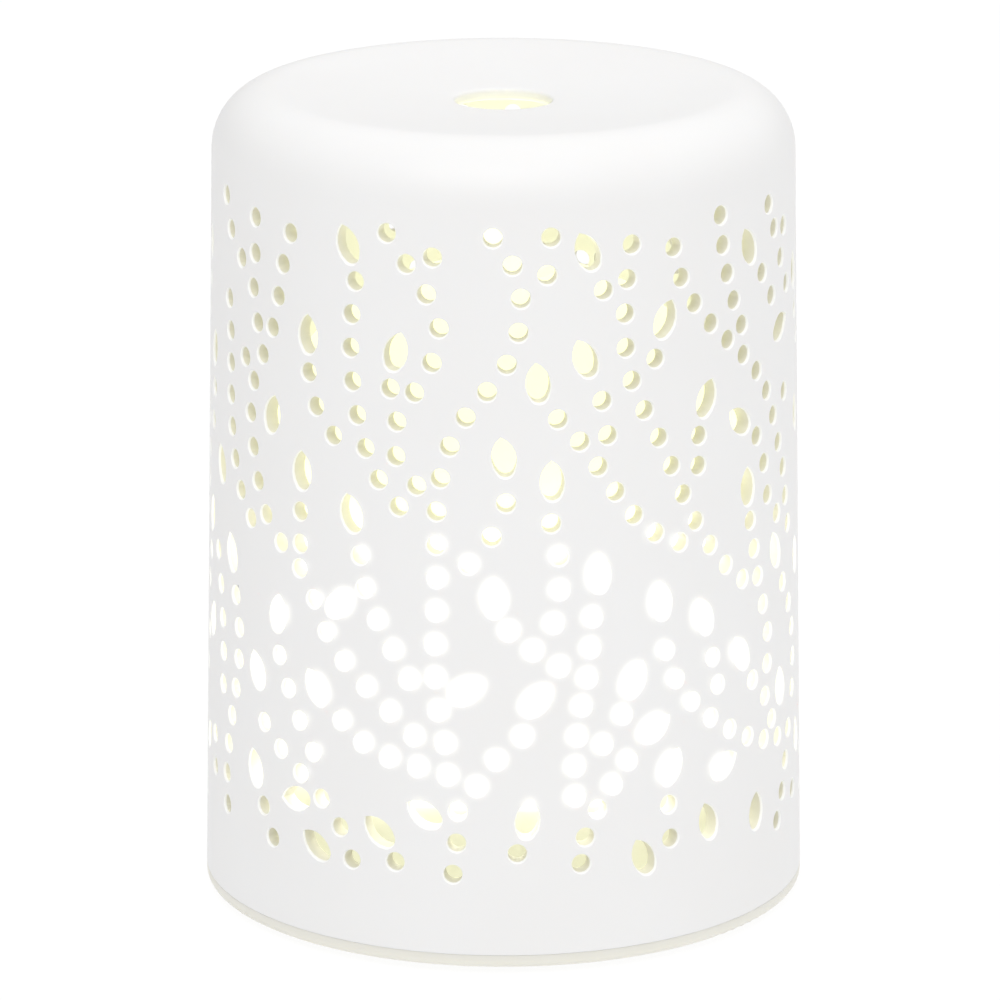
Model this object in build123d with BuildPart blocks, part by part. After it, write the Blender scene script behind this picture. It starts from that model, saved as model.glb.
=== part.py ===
from build123d import *
import os
from math import asin, atan, cos, pi, radians, sin, sqrt

os.makedirs("parts", exist_ok=True)

# Whole object in millimetres, on its feet at Z = 0, its front to -Y and its control panel to +Y
overall_height = 138.2
rim_radius = 51.0
foot_proud = 1.2
flange_thickness = 2.2
overrun = 1.0

# Porcelain cover
cover_rest_gap = 0.15
cover_top_radius = 48.4
cover_wall = 2.8
shoulder_round = 10.0
dish_radius = 305.0
outlet_radius = 8.2
outlet_round = 0.9
rim_round = 0.7
notch_half_width = 18.8
notch_height = 18.4
notch_round = 5.0

# Pierced holes of the cover
pierced_low = 17.2
pierced_height = 107.0
dot_radius = 1.55
leaf_length = 6.6
leaf_half_width = 2.0
leaf_end_radius = 1.5

# Base plate
plate_round = 0.9
upstand_wall = 1.8
upstand_height = 5.0
upstand_fit = 0.2
cup_radius = 4.6
cup_height = 2.6
base_screw_circle = 37.8
base_screw_radius = 1.4
base_screw_play = 0.3
base_screw_length = 9.0
base_head_radius = 2.8
base_head_height = 1.8
base_head_play = 0.4
base_head_depth = 3.0
slot_width = 3.0
slot_length = 18.0
slot_pitch = 5.0
slot_count = 5

# Rubber feet
foot_circle = 40.5
foot_radius = 4.5
foot_recess = 0.8
foot_edge = 0.4

# Electronics housing
housing_radius = 44.8
housing_wall = 2.0
deck_height = 27.0
deck_thickness = 2.2
deck_opening = 24.5
housing_boss_radius = 3.4
housing_screw_bite = 9.4
panel_half_width = 17.2
panel_face = 46.6
panel_wall = 2.0
panel_top = 20.6
panel_edge = 0.8
panel_cut_play = 0.4
deck_edge = 1.0

# Fan
fan_offset = 22.5
fan_side = 30.0
fan_thickness = 8.0
fan_pad_height = 2.0
fan_pad_radius = 2.6
fan_bore = 14.0
fan_corner = 2.5
fan_hole_spacing = 24.0
fan_hole_radius = 1.3
fan_screw_radius = 1.1
fan_screw_length = 11.4
fan_head_radius = 1.8
fan_head_height = 1.4
hub_plate_radius = 6.2
hub_plate_thickness = 1.2
spoke_width = 1.6
bearing_radius = 2.2
bearing_bore = 0.8
bearing_height = 4.0
stator_radius = 4.5
stator_height = 2.8
stator_lift = 0.3
hub_radius = 6.2
hub_wall = 0.8
hub_roof = 1.0
hub_lift = 0.6
hub_drop = 0.8
shaft_radius = 0.76
blade_tip = 13.4
blade_thickness = 0.9
blade_span = 6.4
blade_pitch = 42
blade_count = 7
shroud_wall = 1.0
shroud_gap = 0.2
shroud_top = 20.6
rib_width = 2.0

# Main board and what stands on it
board_radius = 41.4
board_edge = 5.0
board_lift = 2.4
board_thickness = 1.6
board_notch_play = 1.6
post_radius = 2.8
board_screw_radius = 1.2
board_screw_length = 5.0
board_head_radius = 2.3
board_head_height = 1.5
post_side = 30.0
post_forward = 3.0
post_rear = 25.0
jack_half_width = 4.5
jack_length = 11.0
jack_height = 10.0
jack_axis_lift = 5.6
jack_nose_radius = 4.2
jack_nose_length = 1.9
jack_bore = 2.85
jack_bore_depth = 9.5
jack_pin_radius = 1.0
jack_pin_length = 8.8
jack_root_length = 1.5
jack_root_radius = 1.6
jack_tip_round = 0.5
jack_setback = 0.2
panel_hole_play = 0.4
button_spacing = 10.6
button_radius = 3.2
button_play = 0.25
button_proud = 1.0
button_edge = 0.5
button_flange_radius = 4.0
button_flange_thickness = 1.0
button_flange_gap = 0.05
plunger_radius = 1.4
plunger_play = 0.15
plunger_depth = 0.5
switch_bore_depth = 1.6
switch_half_width = 3.2
switch_depth = 3.6
switch_front = 38.4
switch_over_axis = 3.0
sink_x = 19.0
sink_y = 14.0
sink_width = 15.0
sink_depth = 8.0
sink_height = 12.0
sink_web = 2.0
sink_fin = 1.2
sink_fin_count = 5
transistor_width = 10.0
transistor_depth = 4.4
transistor_body = 8.6
transistor_lift = 3.0
transistor_tab = 1.3
transistor_tab_height = 10.8
transistor_leg = 0.8
transistor_leg_pitch = 2.54
capacitor_x = 19.0
capacitor_y = 15.0
capacitor_radius = 4.0
capacitor_height = 11.0
capacitor_edge = 0.6
coil_x = 8.0
coil_y = 14.0
coil_radius = 4.5
coil_height = 7.0
coil_waist = 3.3
coil_flange = 1.2
chip_x = 7.0
chip_y = 10.0
chip_width = 6.2
chip_length = 5.0
chip_height = 1.6
connector_width = 5.0
connector_depth = 4.0
connector_height = 6.0
connector_spacing = 12.0
lead_radius = 0.7
lead_bend = 2.4
fan_lead_rise = 5.4
fan_lead_side = 9.0
fan_lead_inset = 1.3
piezo_lead_rise = 4.6
piezo_lead_reach = 5.0
led_lead_rise = 4.0

# Water tank
tank_radius = 43.0
tank_top_radius = 43.6
tank_wall = 1.8
tank_floor = 2.4
tank_top = 72.0
tank_rim_round = 0.6
tank_floor_round = 3.0
column_offset = 31.0
column_radius = 6.0
column_bore = 4.6
column_top = 60.0
seal_inner = 38.4
seal_outer = 40.2
seal_depth = 1.0
seal_play = 0.2
tank_boss_circle = 33.0
tank_boss_radius = 3.0
tank_boss_length = 2.0
tank_boss_play = 0.2
tank_screw_radius = 1.1
tank_screw_length = 3.8
tank_head_radius = 4.4
tank_head_height = 1.4
dam_inner = 9.5
dam_outer = 16.5
dam_height = 2.0
dam_round = 0.8

# Ultrasonic transducer
sonic_hole = 8.0
gasket_radius = 12.0
gasket_height = 3.4
gasket_recess = 1.0
gasket_play = 0.3
piezo_radius = 10.0
piezo_thickness = 1.2
clamp_radius = 16.2
clamp_floor = 1.8
clamp_hole = 9.0
clamp_screw_circle = 14.3
clamp_screw_radius = 0.9
clamp_screw_bite = 3.4
clamp_head_radius = 1.7
clamp_head_height = 1.2

# Light ring
led_circle = 20.3
led_count = 6
led_width = 3.5
led_height = 1.6
led_edge = 0.3
led_board_inner = 17.2
led_board_outer = 23.5
led_board_thickness = 1.2
led_post_radius = 1.6
led_post_length = 3.0
led_screw_radius = 0.8
led_screw_bite = 2.2
led_head_radius = 1.6
led_head_height = 1.0

# Splash lid with its chimney
dome_rest_gap = 0.15
dome_wall = 1.5
dome_flange = 1.8
dome_skirt = 6.0
dome_skirt_play = 0.4
dome_shoulder = 41.0
dome_belly_radius = 30.0
dome_belly_height = 97.0
dome_neck_radius = 9.0
dome_neck_height = 107.0
chimney_radius = 5.2
chimney_top = 127.0
chimney_root = 111.0
chimney_edge = 0.4
normal_share = 0.7

# Stems of round holes: how many, then points as degrees from the front and shares of the pierced height
stem_shares = [
    (17, [(-2, 0.995), (3.3, 0.902), (0.4, 0.798), (-7.5, 0.715), (-12, 0.62),
          (-12.6, 0.463), (-12.9, 0.304), (-11, 0.207)]),
    (2, [(9, 0.995), (8.3, 0.938)]),
    (9, [(-22.6, 0.995), (-18.4, 0.948), (-15, 0.91), (-12.3, 0.86), (-16.4, 0.761), (-20.5, 0.706),
         (-16.5, 0.61)]),
    (8, [(-29.2, 0.916), (-30.2, 0.84), (-28.6, 0.706), (-24, 0.612), (-20, 0.575)]),
    (3, [(-40, 0.763), (-38, 0.71), (-34, 0.672)]),
    (18, [(-45, 0.972), (-48.4, 0.869), (-49.7, 0.827), (-53.8, 0.763), (-56.8, 0.711), (-55.8, 0.603),
          (-50.4, 0.507), (-41, 0.442), (-35.3, 0.357), (-26.7, 0.284), (-17, 0.215)]),
    (2, [(-42, 0.542), (-42, 0.491)]),
    (5, [(-69, 0.995), (-61, 0.907), (-56.5, 0.869), (-55, 0.818)]),
    (2, [(-56, 0.981), (-56, 0.925)]),
    (8, [(-67, 0.836), (-66, 0.74), (-65.3, 0.64), (-61, 0.542), (-57, 0.505)]),
    (5, [(-28, 0.491), (-27, 0.439), (-24.5, 0.393), (-18, 0.304)]),
    (8, [(-63, 0.369), (-61.5, 0.271), (-64.5, 0.168), (-66.5, 0.019)]),
    (5, [(-73, 0.421), (-69.8, 0.318), (-69.3, 0.21)]),
    (4, [(-47.5, 0.304), (-45, 0.257), (-42, 0.21), (-38.5, 0.164)]),
    (6, [(-52, 0.187), (-41, 0.121), (-36.5, 0.093), (-29.5, 0.005)]),
    (6, [(-32, 0.224), (-20, 0.173), (-9.5, 0.154), (-5, 0.14)]),
    (2, [(3.6, 0.22), (-1.3, 0.183)]),
    (3, [(-8.5, 0.101), (-8.7, 0.051), (-9.4, 0)]),
    (2, [(-52.1, 0.051), (-49.2, 0.005)]),
    (3, [(0.5, 0.588), (-2.2, 0.536), (-6.5, 0.491)]),
    (4, [(1, 0.387), (5.6, 0.355), (16, 0.308)]),
    (4, [(9, 0.555), (10.7, 0.458), (9.5, 0.397)]),
    (2, [(17, 0.403), (16.6, 0.355)]),
    (4, [(14.9, 0.264), (14, 0.215), (13.6, 0.121)]),
    (2, [(15.4, 0.056), (14.6, 0.014)]),
    (2, [(23, 0.244), (19, 0.2)]),
    (3, [(24, 0.17), (17.8, 0.099)]),
    (2, [(32.6, 0.089), (33, 0.034)]),
    (2, [(18.9, 0.74), (20, 0.686)]),
    (7, [(10.3, 0.716), (18, 0.64), (25.4, 0.557), (35.4, 0.503)]),
    (13, [(25, 0.976), (23.6, 0.869), (25, 0.766), (31, 0.669), (36.4, 0.575), (43.1, 0.486),
          (52.3, 0.417)]),
    (9, [(34.2, 0.963), (43.2, 0.836), (53, 0.771), (64.5, 0.655)]),
    (5, [(46.2, 0.998), (47.9, 0.911), (52.5, 0.819)]),
    (2, [(60, 0.888), (64, 0.846)]),
    (2, [(40.2, 0.664), (40, 0.617)]),
    (4, [(57.5, 0.635), (60.5, 0.58), (62, 0.528), (66, 0.495)]),
    (3, [(55, 0.505), (57.6, 0.411)]),
    (5, [(59.6, 0.362), (61.3, 0.32), (61.5, 0.278), (60.2, 0.212), (63, 0.168)]),
    (9, [(32.2, 0.336), (37.5, 0.252), (47.5, 0.187), (58.6, 0.145), (72, 0.131)]),
    (2, [(43.5, 0.308), (44.8, 0.262)]),
    (2, [(68, 0.037), (70, 0.084)]),
    (2, [(65.5, 0.949), (63, 0.99)]),
    (2, [(70.8, 0.944), (69, 0.897)]),
    (16, [(90, 0.995), (86.5, 0.9), (88, 0.78), (95, 0.66), (97, 0.53), (92, 0.39), (87, 0.28)]),
    (2, [(80.5, 0.795), (83, 0.75)]),
    (2, [(97, 0.838), (95, 0.79)]),
    (2, [(103, 0.675), (102, 0.62)]),
    (4, [(67, 0.607), (69.6, 0.562), (70.9, 0.515), (72.5, 0.465)]),
    (2, [(100, 0.405), (98, 0.355)]),
    (4, [(72.8, 0.335), (75.4, 0.289), (76, 0.239), (75.2, 0.19)]),
    (6, [(98, 0.27), (95, 0.2), (88, 0.13), (85, 0.01)]),
    (2, [(105.2, 0.115), (105.6, 0.062)]),
]

# Round holes that stand alone
single_shares = [
    (-13.5, 0.963), (-21.8, 0.757), (-59.5, 0.757), (-20.5, 0.012), (2.6, 0.035), (19.2, 0.91),
    (30, 0.796), (55.5, 0.248), (65.3, -0.005), (75, 0.023), (72.5, 0.85), (70.5, 0.682), (69, 0.377),
]

# Leaves: degrees from the front, share of the pierced height, lean of the tip to the right in degrees
leaf_shares = [
    (-20.6, 0.815, 15), (-31, 0.972, -20), (-40.4, 0.822, 0), (-50, 0.683, 12), (-41.8, 0.607, 0),
    (-71, 0.565, -15), (-30, 0.556, -15), (-65, 0.435, -15), (-32, 0.413, 48), (-48, 0.37, 5),
    (-54.5, 0.267, -20), (-38, 0.271, -32), (-6.2, 0.296, 57), (-55, 0.107, -15), (-44, 0.08, -100),
    (-38.3, 0.019, -55), (-24.3, 0.061, -50), (-15.5, 0.096, -60), (0, 0.659, -8), (9, 0.621, 0),
    (-2, 0.439, 0), (18, 0.472, 0), (6.6, 0.28, 45), (25.5, 0.299, 25), (30.2, 0.22, 60),
    (33.4, 0.15, 25), (47.3, 0.131, 65), (4.5, 0.089, 8), (27, 0.014, -25), (42, 0.047, -15),
    (56.4, 0.033, 5), (16, 0.972, -25), (15.4, 0.808, -22), (6.4, 0.773, -5), (32.5, 0.855, 20),
    (55, 0.939, -25), (42.4, 0.72, 20), (51, 0.673, -55), (54, 0.561, 0), (65, 0.439, -20),
    (31, 0.416, -5), (41, 0.378, -20), (51.4, 0.302, -30), (79, 0.86, -10), (98, 0.9, 20),
    (103, 0.74, 15), (80, 0.63, -15), (101.5, 0.47, 15), (79, 0.4, -10), (103, 0.3, 20),
    (99, 0.1, 45), (79, 0.105, -20), (94, 0.02, -30), (69, 0.793, 70), (67, 0.213, -5),
]

# Levels that follow from the sizes above
plate_top = foot_proud + flange_thickness
rim_level = plate_top + cover_rest_gap
cup_top = plate_top + cup_height
base_head_top = foot_proud + base_head_depth
fan_bottom = plate_top + fan_pad_height
fan_top = fan_bottom + fan_thickness
board_bottom = plate_top + board_lift
board_top = board_bottom + board_thickness
panel_axis = board_top + jack_axis_lift
deck_bottom = deck_height - deck_thickness
floor_top = deck_height + tank_floor
gasket_top = deck_height + gasket_recess
gasket_bottom = gasket_top - gasket_height
clamp_bottom = gasket_bottom - clamp_floor
led_board_top = deck_height - led_post_length
led_board_bottom = led_board_top - led_board_thickness
connector_top = board_top + connector_height
panel_inner = panel_face - panel_wall
shroud_floor = fan_top + shroud_gap
centre_bottom = (Align.CENTER, Align.CENTER, Align.MIN)
centre_top = (Align.CENTER, Align.CENTER, Align.MAX)


def save(builder, name):
    builder.part.label = name
    export_step(builder.part, "parts/" + name + ".step", write_pcurves=False)


def turned(points):
    with BuildLine() as outline:
        Polyline(*points, close=True)
    make_face(outline.edges())


def screw(head_radius, head_height, shank_radius, shank_length):
    Cylinder(head_radius, head_height, align=centre_top)
    Cylinder(shank_radius, shank_length, align=centre_bottom)


# Cover wall: a leaning side, a round shoulder and a dished top, each face offset from the same centres
lean = atan((rim_radius - cover_top_radius) / (overall_height - rim_level))
shoulder_height = overall_height - shoulder_round


def side_radius(height):
    rise = (height - rim_level) / (overall_height - rim_level)
    return rim_radius - (rim_radius - cover_top_radius) * rise


shoulder_centre = side_radius(shoulder_height) - shoulder_round / cos(lean)
dish_reach = dish_radius + shoulder_round
dish_centre = shoulder_height + sqrt(dish_reach**2 - shoulder_centre**2)


def dish_point(radius, inset):
    return (radius, dish_centre - sqrt((dish_radius + inset) ** 2 - radius**2))


def shoulder_point(angle, inset):
    reach = shoulder_round - inset
    return (shoulder_centre + reach * cos(angle), shoulder_height + reach * sin(angle))


def cover_face(inset, mode):
    inward = asin(shoulder_centre / dish_reach)
    rim = (rim_radius - inset / cos(lean), rim_level)
    wall_end = shoulder_point(lean, inset)
    crest = shoulder_point(pi / 4, inset)
    dish_end = shoulder_point(pi / 2 + inward, inset)
    with BuildLine() as outline:
        Line(rim, wall_end)
        ThreePointArc(wall_end, crest, dish_end)
        ThreePointArc(dish_end, dish_point(shoulder_centre / 2, inset), dish_point(0, inset))
        Polyline(dish_point(0, inset), (0, rim_level), rim)
    make_face(outline.edges(), mode=mode)


def radial_plane(angle, height, lean_right):
    outward = Vector(sin(radians(angle)), -cos(radians(angle)), 0)
    across = Vector(cos(radians(angle)), sin(radians(angle)), 0)
    x_dir = across * cos(radians(lean_right)) - Vector(0, 0, 1) * sin(radians(lean_right))
    middle = side_radius(height) - cover_wall / 2
    return Plane(outward * middle + Vector(0, 0, height), x_dir=x_dir, z_dir=outward)


def clear_of_notch(angle, height):
    rear = cos(radians(angle)) < 0
    beside = abs(rim_radius * sin(radians(angle))) > notch_half_width + leaf_length
    return not rear or beside or height > rim_level + notch_height + leaf_length


def stem_places(count, points):
    arc = rim_radius * pi / 180
    path = [(angle * arc, share * pierced_height) for angle, share in points]
    with BuildLine() as stem:
        Spline(*path)
    spots = [stem.line.edge() @ (step / (count - 1)) for step in range(count)]
    return [(spot.X / arc, spot.Y / pierced_height) for spot in spots]


dots = list(single_shares)
for count, points in stem_shares:
    dots += stem_places(count, points)
dot_planes = []
leaf_planes = []
for half_turn in (0, 180):
    for angle, share in dots:
        height = pierced_low + share * pierced_height
        if clear_of_notch(angle + half_turn, height):
            dot_planes.append(radial_plane(angle + half_turn, height, 0))
    for angle, share, lean_right in leaf_shares:
        height = pierced_low + share * pierced_height
        if clear_of_notch(angle + half_turn, height):
            leaf_planes.append(radial_plane(angle + half_turn, height, lean_right))

# Leaf outline: two side arcs swell from the tip to the belly and run into a smaller round end
end_reach = leaf_length - leaf_end_radius
end_share = leaf_end_radius / leaf_half_width
end_square = end_reach**2 + leaf_end_radius * (leaf_half_width - leaf_end_radius)
belly_drop = (end_reach - sqrt(end_reach**2 - end_share * end_square)) / end_share
side_arc = (belly_drop**2 + leaf_half_width**2) / (2 * leaf_half_width)
leaf_tip = (0, leaf_length / 2)
leaf_belly = leaf_length / 2 - belly_drop
end_centre = leaf_end_radius - leaf_length / 2
join_angle = atan((end_centre - leaf_belly) / (side_arc - leaf_half_width))
leaf_join = (leaf_end_radius * cos(join_angle), end_centre + leaf_end_radius * sin(join_angle))

# Ceramic cover
with BuildPart() as ceramic_cover:
    with BuildSketch(Plane.XZ) as cover_section:
        cover_face(0, Mode.ADD)
        cover_face(cover_wall, Mode.SUBTRACT)
        with Locations((0, overall_height)):
            Rectangle(2 * outlet_radius, 2 * shoulder_round, mode=Mode.SUBTRACT)
        fillet(cover_section.vertices().group_by(Axis.X)[0], outlet_round)
        fillet(cover_section.vertices().group_by(Axis.Y)[0], rim_round)
    revolve(axis=Axis.Z)
    notch_plane = Plane((0, rim_radius / 2, rim_level), x_dir=(-1, 0, 0), z_dir=(0, 1, 0))
    with BuildSketch(notch_plane):
        RectangleRounded(2 * notch_half_width, 2 * notch_height, notch_round)
    extrude(amount=rim_radius, mode=Mode.SUBTRACT)
    with Locations(*dot_planes):
        Cylinder(dot_radius, 2 * cover_wall + overrun, mode=Mode.SUBTRACT)
    with BuildSketch(*leaf_planes):
        with BuildLine():
            ThreePointArc(leaf_tip, (leaf_half_width, leaf_belly), leaf_join)
            ThreePointArc(leaf_join, (0, -leaf_length / 2), (-leaf_join[0], leaf_join[1]))
            ThreePointArc((-leaf_join[0], leaf_join[1]), (-leaf_half_width, leaf_belly), leaf_tip)
        make_face()
    extrude(amount=cover_wall + overrun / 2, both=True, mode=Mode.SUBTRACT)
save(ceramic_cover, "ceramic_cover")

# Splash lid with its chimney
lid_seat = tank_top + dome_rest_gap
lid_flange_top = lid_seat + dome_flange
skirt_outer = tank_top_radius - tank_wall - dome_skirt_play
skirt_inner = skirt_outer - dome_wall
belly_inset = dome_wall * normal_share
with BuildPart() as mist_dome:
    with BuildSketch(Plane.XZ) as dome_section:
        with BuildLine():
            neck = (dome_neck_radius, dome_neck_height)
            inner_neck = (dome_neck_radius, dome_neck_height - dome_wall)
            inner_belly = (dome_belly_radius - belly_inset, dome_belly_height - belly_inset)
            Polyline(
                (skirt_inner, lid_flange_top),
                (skirt_inner, tank_top - dome_skirt),
                (skirt_outer, tank_top - dome_skirt),
                (skirt_outer, lid_seat),
                (tank_top_radius, lid_seat),
                (tank_top_radius, lid_flange_top),
                (dome_shoulder, lid_flange_top),
            )
            ThreePointArc((dome_shoulder, lid_flange_top), (dome_belly_radius, dome_belly_height), neck)
            Polyline(
                neck,
                (chimney_radius, chimney_root),
                (chimney_radius, chimney_top),
                (chimney_radius - dome_wall, chimney_top),
                (chimney_radius - dome_wall, chimney_root - dome_wall),
                inner_neck,
            )
            ThreePointArc(inner_neck, inner_belly, (skirt_inner, lid_flange_top))
        make_face()
        fillet(dome_section.vertices().group_by(Axis.Y)[-1], chimney_edge)
    revolve(axis=Axis.Z)
save(mist_dome, "mist_dome")

# Water tank with its air column, transducer seat, bosses and light posts
with BuildPart() as water_tank:
    with BuildSketch(Plane.XZ) as tank_section:
        turned([
            (0, deck_height),
            (tank_radius, deck_height),
            (tank_top_radius, tank_top),
            (tank_top_radius - tank_wall, tank_top),
            (tank_radius - tank_wall, floor_top),
            (0, floor_top),
        ])
        fillet(tank_section.vertices().group_by(Axis.Y)[-1], tank_rim_round)
        fillet(tank_section.vertices().group_by(Axis.Y)[1].sort_by(Axis.X)[-1], tank_floor_round)
    revolve(axis=Axis.Z)
    with BuildSketch(Plane.XY.offset(floor_top)):
        Circle(dam_outer)
        Circle(dam_inner, mode=Mode.SUBTRACT)
    extrude(amount=dam_height)
    fillet(water_tank.faces().filter_by(Plane.XY).sort_by(Axis.Z)[-2].edges(), dam_round)
    with Locations((0, -column_offset, floor_top)):
        Cylinder(column_radius, column_top - floor_top, align=centre_bottom)
    with Locations((0, -column_offset, deck_height)):
        Cylinder(column_bore, column_top - deck_height, align=centre_bottom, mode=Mode.SUBTRACT)
    with Locations((0, 0, deck_height)):
        Cylinder(gasket_radius + gasket_play, gasket_recess, align=centre_bottom, mode=Mode.SUBTRACT)
        Cylinder(sonic_hole, tank_floor, align=centre_bottom, mode=Mode.SUBTRACT)
    with BuildSketch(Plane.XY.offset(deck_height)):
        Circle(seal_outer + seal_play)
        Circle(seal_inner - seal_play, mode=Mode.SUBTRACT)
    extrude(amount=seal_depth, mode=Mode.SUBTRACT)
    with Locations((0, 0, deck_height)):
        with PolarLocations(tank_boss_circle, 3, start_angle=90):
            Cylinder(tank_boss_radius, tank_boss_length, align=centre_top)
        with PolarLocations(led_circle, 3, start_angle=30):
            Cylinder(led_post_radius, led_post_length, align=centre_top)
        with PolarLocations(clamp_screw_circle, 3, start_angle=90):
            Cylinder(clamp_screw_radius, clamp_screw_bite, align=centre_bottom, mode=Mode.SUBTRACT)
    with Locations((0, 0, deck_bottom)):
        with PolarLocations(tank_boss_circle, 3, start_angle=90):
            Cylinder(tank_screw_radius, tank_screw_length, align=centre_bottom, mode=Mode.SUBTRACT)
    with Locations((0, 0, led_board_top)):
        with PolarLocations(led_circle, 3, start_angle=30):
            Cylinder(led_screw_radius, led_screw_bite, align=centre_bottom, mode=Mode.SUBTRACT)
save(water_tank, "water_tank")

with BuildPart() as tank_seal:
    with BuildSketch(Plane.XY.offset(deck_height)):
        Circle(seal_outer)
        Circle(seal_inner, mode=Mode.SUBTRACT)
    extrude(amount=seal_depth)
save(tank_seal, "tank_seal")

with BuildPart() as tank_screws:
    with Locations((0, 0, deck_bottom)):
        with PolarLocations(tank_boss_circle, 3, start_angle=90):
            screw(tank_head_radius, tank_head_height, tank_screw_radius, tank_screw_length)
save(tank_screws, "tank_screws")

# Ultrasonic transducer under the middle of the tank
piezo_middle = (gasket_top + gasket_bottom) / 2
with BuildPart() as piezo_gasket:
    with BuildSketch(Plane.XY.offset(gasket_bottom)):
        Circle(gasket_radius)
        Circle(sonic_hole, mode=Mode.SUBTRACT)
    extrude(amount=gasket_height)
    with Locations((0, 0, piezo_middle)):
        Cylinder(piezo_radius, piezo_thickness, mode=Mode.SUBTRACT)
save(piezo_gasket, "piezo_gasket")

with BuildPart() as piezo_disc:
    with Locations((0, 0, piezo_middle)):
        Cylinder(piezo_radius, piezo_thickness)
save(piezo_disc, "piezo_disc")

with BuildPart() as piezo_clamp:
    with Locations((0, 0, clamp_bottom)):
        Cylinder(clamp_radius, deck_height - clamp_bottom, align=centre_bottom)
        Cylinder(clamp_hole, gasket_height, align=centre_bottom, mode=Mode.SUBTRACT)
        with PolarLocations(clamp_screw_circle, 3, start_angle=90):
            clamp_height = deck_height - clamp_bottom
            Cylinder(clamp_screw_radius, clamp_height, align=centre_bottom, mode=Mode.SUBTRACT)
    with Locations((0, 0, gasket_bottom)):
        Cylinder(gasket_radius + gasket_play, gasket_height, align=centre_bottom, mode=Mode.SUBTRACT)
save(piezo_clamp, "piezo_clamp")

with BuildPart() as piezo_screws:
    with Locations((0, 0, clamp_bottom)):
        with PolarLocations(clamp_screw_circle, 3, start_angle=90):
            clamp_screw_length = deck_height - clamp_bottom + clamp_screw_bite
            screw(clamp_head_radius, clamp_head_height, clamp_screw_radius, clamp_screw_length)
save(piezo_screws, "piezo_screws")

# Light ring under the tank floor
with BuildPart() as led_board:
    with BuildSketch(Plane.XY.offset(led_board_bottom)):
        Circle(led_board_outer)
        Circle(led_board_inner, mode=Mode.SUBTRACT)
        with PolarLocations(led_circle, 3, start_angle=30):
            Circle(led_screw_radius, mode=Mode.SUBTRACT)
    extrude(amount=led_board_thickness)
save(led_board, "led_board")

with BuildPart() as leds:
    with Locations((0, 0, led_board_top)):
        with PolarLocations(led_circle, led_count):
            Box(led_width, led_width, led_height, align=centre_bottom)
    chamfer(leds.edges().group_by(Axis.Z)[-1], led_edge)
save(leds, "leds")

with BuildPart() as led_screws:
    with Locations((0, 0, led_board_bottom)):
        with PolarLocations(led_circle, 3, start_angle=30):
            led_screw_length = led_board_thickness + led_screw_bite
            screw(led_head_radius, led_head_height, led_screw_radius, led_screw_length)
save(led_screws, "led_screws")

# Housing with its deck, screw bosses, fan shroud and rear panel
rear_panel = Plane((0, panel_inner, panel_axis), x_dir=(-1, 0, 0), z_dir=(0, 1, 0))
with BuildPart() as housing:
    with Locations((0, 0, plate_top)):
        Cylinder(housing_radius, deck_height - plate_top, align=centre_bottom)
    fillet(housing.edges().group_by(Axis.Z)[-1], deck_edge)
    with BuildSketch(Plane.XY.offset(plate_top)) as panel_plan:
        Rectangle(2 * panel_half_width, panel_face, align=(Align.CENTER, Align.MIN))
        fillet(panel_plan.vertices().group_by(Axis.Y)[-1], panel_edge)
    extrude(amount=panel_top - plate_top)
    with Locations((0, 0, plate_top)):
        inner_radius = housing_radius - housing_wall
        Cylinder(inner_radius, deck_bottom - plate_top, align=centre_bottom, mode=Mode.SUBTRACT)
    with BuildSketch(Plane.XY.offset(plate_top)):
        Rectangle(2 * (panel_half_width - panel_wall), panel_inner, align=(Align.CENTER, Align.MIN))
    extrude(amount=panel_top - panel_wall - plate_top, mode=Mode.SUBTRACT)
    with Locations((0, 0, cup_top)):
        with PolarLocations(base_screw_circle, 4, start_angle=45):
            Cylinder(housing_boss_radius, deck_bottom - cup_top, align=centre_bottom)
            Cylinder(base_screw_radius, housing_screw_bite, align=centre_bottom, mode=Mode.SUBTRACT)
    with Locations((0, -fan_offset, shroud_top)):
        Cylinder(fan_bore + shroud_wall, shroud_top - shroud_floor, align=centre_top)
    with Locations((0, -inner_radius, deck_bottom)):
        rib_top = (Align.CENTER, Align.MIN, Align.MAX)
        Box(rib_width, fan_offset - fan_bore, deck_bottom - shroud_floor, align=rib_top)
    with Locations((0, -column_offset, deck_bottom)):
        Cylinder(column_bore + shroud_wall, deck_bottom - shroud_top, align=centre_top)
        Cylinder(column_bore, deck_bottom - shroud_floor, align=centre_top, mode=Mode.SUBTRACT)
    with Locations((0, -fan_offset, shroud_floor)):
        shroud_room = shroud_top - shroud_wall - shroud_floor
        Cylinder(fan_bore, shroud_room, align=centre_bottom, mode=Mode.SUBTRACT)
    with BuildSketch(Plane.XY.offset(deck_bottom)):
        Circle(deck_opening)
        with Locations((0, -column_offset)):
            Circle(column_bore)
        with PolarLocations(tank_boss_circle, 3, start_angle=90):
            Circle(tank_boss_radius + tank_boss_play)
    extrude(amount=deck_thickness, mode=Mode.SUBTRACT)
    with BuildSketch(rear_panel):
        Circle(jack_nose_radius + panel_hole_play)
        with GridLocations(2 * button_spacing, 0, 2, 1):
            Circle(button_radius + button_play)
    extrude(amount=panel_wall, mode=Mode.SUBTRACT)
save(housing, "housing")

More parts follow.
